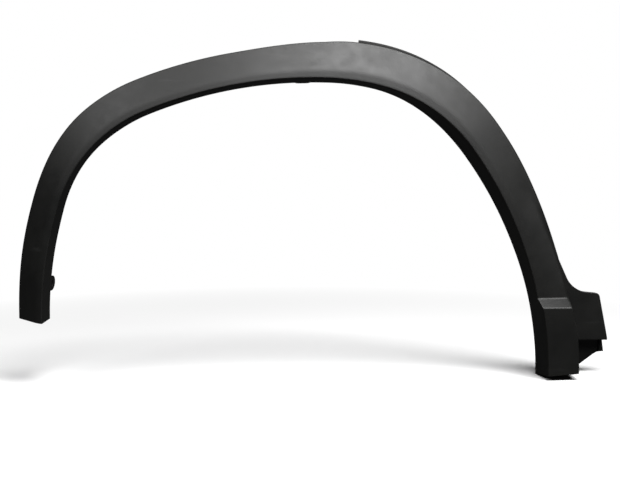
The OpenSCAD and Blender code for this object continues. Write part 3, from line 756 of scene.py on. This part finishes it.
# Edges wear where the rounded direction and the true one differ, in patches. Scuffs are long and thin.
rounded = bevelled(0.0012)
geometry = nodes.new("ShaderNodeNewGeometry")
dot = nodes.new("ShaderNodeVectorMath")
dot.operation = "DOT_PRODUCT"
links.new(rounded, dot.inputs[0])
links.new(geometry.outputs["Normal"], dot.inputs[1])
edge_wear = maths("MULTIPLY", ranged(dot.outputs["Value"], 0.97, 0.8, 0, 1),
                  ranged(fine_cloud, 0.4, 0.65, 0, 1))
stretched = nodes.new("ShaderNodeMapping")
stretched.inputs["Rotation"].default_value = (0, math.radians(-14), 0)
stretched.inputs["Scale"].default_value = (12, 30, 110)
links.new(place_in.outputs["Object"], stretched.inputs["Vector"])
rubs = noise(1, 3, stretched.outputs["Vector"])
scuffs = maths("MULTIPLY", ranged(rubs, 0.66, 0.74, 0, 1), ranged(cloudy, 0.5, 0.6, 0, 1))

worn = nodes.new("ShaderNodeMix")
worn.data_type = "RGBA"
worn.inputs["B"].default_value = (0.04, 0.04, 0.039, 1)
links.new(tint.outputs["Result"], worn.inputs["A"])
wear = maths("MAXIMUM", maths("MULTIPLY", edge_wear, 0.4), maths("MULTIPLY", scuffs, 0.3))
links.new(wear, worn.inputs["Factor"])
links.new(worn.outputs["Result"], shader.inputs["Base Color"])

roughness = maths("ADD", ranged(cloudy, 0.3, 0.7, 0.45, 0.53), ranged(fine_cloud, 0.3, 0.7, -0.03, 0.03))
links.new(roughness, shader.inputs["Roughness"])

# The grain is made of cells about 0.7 mm wide with a finer noise on them.
grain = nodes.new("ShaderNodeTexVoronoi")
grain.feature = "SMOOTH_F1"
grain.inputs["Scale"].default_value = 1500
grain.inputs["Smoothness"].default_value = 0.6
links.new(place_in.outputs["Object"], grain.inputs["Vector"])
grain_height = maths("ADD", grain.outputs["Distance"], maths("MULTIPLY", noise(2600, 2), 0.6))
bump = nodes.new("ShaderNodeBump")
bump.inputs["Strength"].default_value = 0.35
bump.inputs["Distance"].default_value = 0.00006
links.new(grain_height, bump.inputs["Height"])
links.new(bevelled(0.0004), bump.inputs["Normal"])
links.new(bump.outputs["Normal"], shader.inputs["Normal"])
shader.inputs["Specular IOR Level"].default_value = 0.5

trim.data.materials.clear()
trim.data.materials.append(plastic)
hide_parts("arch_moulding")
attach(trim, "root")

# Floor and light
# A plain pale floor lies under the feet and turns plain white away from them. One large soft light stands
# above and in front, so that it reflects in the sloping face over the top, with a weaker one each side.
floor = bpy.data.objects.new("floor", bpy.data.meshes.new("floor"))
floor.data.from_pydata([(-6, -4, 0), (6, -4, 0), (6, 8, 0), (-6, 8, 0)], [], [(0, 1, 2, 3)])
floor.location.z = cad_box[0].z
bpy.context.scene.collection.objects.link(floor)
ground = bpy.data.materials.new("floor_paint")
ground.use_nodes = True
paint, wires = ground.node_tree.nodes, ground.node_tree.links
coat = paint["Principled BSDF"]
seen = paint.new("ShaderNodeLightPath")
pale = paint.new("ShaderNodeMix")
pale.data_type = "RGBA"
pale.inputs["A"].default_value = (0.05, 0.05, 0.05, 1)
pale.inputs["B"].default_value = (0.95, 0.95, 0.95, 1)
wires.new(seen.outputs["Is Camera Ray"], pale.inputs["Factor"])
wires.new(pale.outputs["Result"], coat.inputs["Base Color"])
coat.inputs["Roughness"].default_value = 1
coat.inputs["Specular IOR Level"].default_value = 0
spot = paint.new("ShaderNodeTexCoord")
away = paint.new("ShaderNodeVectorMath")
away.operation = "LENGTH"
wires.new(spot.outputs["Object"], away.inputs[0])
fade = paint.new("ShaderNodeMapRange")
for name, number in (("From Min", 0.55), ("From Max", 1.3), ("To Min", 0), ("To Max", 1)):
    fade.inputs[name].default_value = number
wires.new(away.outputs["Value"], fade.inputs["Value"])
both = paint.new("ShaderNodeMath")
both.operation = "MULTIPLY"
wires.new(fade.outputs["Result"], both.inputs[0])
wires.new(seen.outputs["Is Camera Ray"], both.inputs[1])
white = paint.new("ShaderNodeEmission")
blend = paint.new("ShaderNodeMixShader")
wires.new(both.outputs["Value"], blend.inputs[0])
wires.new(coat.outputs["BSDF"], blend.inputs[1])
wires.new(white.outputs["Emission"], blend.inputs[2])
wires.new(blend.outputs["Shader"], paint["Material Output"].inputs["Surface"])
floor.data.materials.append(ground)

world = bpy.data.worlds.new("studio")
bpy.context.scene.world = world
world.use_nodes = True
backdrop = world.node_tree.nodes["Background"]
sight = world.node_tree.nodes.new("ShaderNodeLightPath")
shade = world.node_tree.nodes.new("ShaderNodeMix")
shade.data_type = "RGBA"
shade.inputs["A"].default_value = (0.01, 0.01, 0.01, 1)
shade.inputs["B"].default_value = (1, 1, 1, 1)
world.node_tree.links.new(sight.outputs["Is Camera Ray"], shade.inputs["Factor"])
world.node_tree.links.new(shade.outputs["Result"], backdrop.inputs["Color"])


def soft_light(name, direction, power):
    """A round light at a distance from the middle of the trim, aimed at it from a direction."""
    distance, size = 2.6, 1.4
    lamp = bpy.data.lights.new(name, "AREA")
    lamp.shape, lamp.size, lamp.energy = "DISK", size, power
    piece = bpy.data.objects.new(name, lamp)
    away = np.array(direction, float) / np.linalg.norm(direction)
    middle = np.array([0.05, 0, 0.2])
    piece.location = middle + away * distance
    piece.rotation_euler = Vector(away).to_track_quat("Z", "Y").to_euler()
    bpy.context.scene.collection.objects.link(piece)


soft_light("overhead", (0.16, -0.43, 0.89), 78)
soft_light("right", (0.56, -0.45, 0.69), 42)
soft_light("left", (-0.6, -0.42, 0.68), 23)
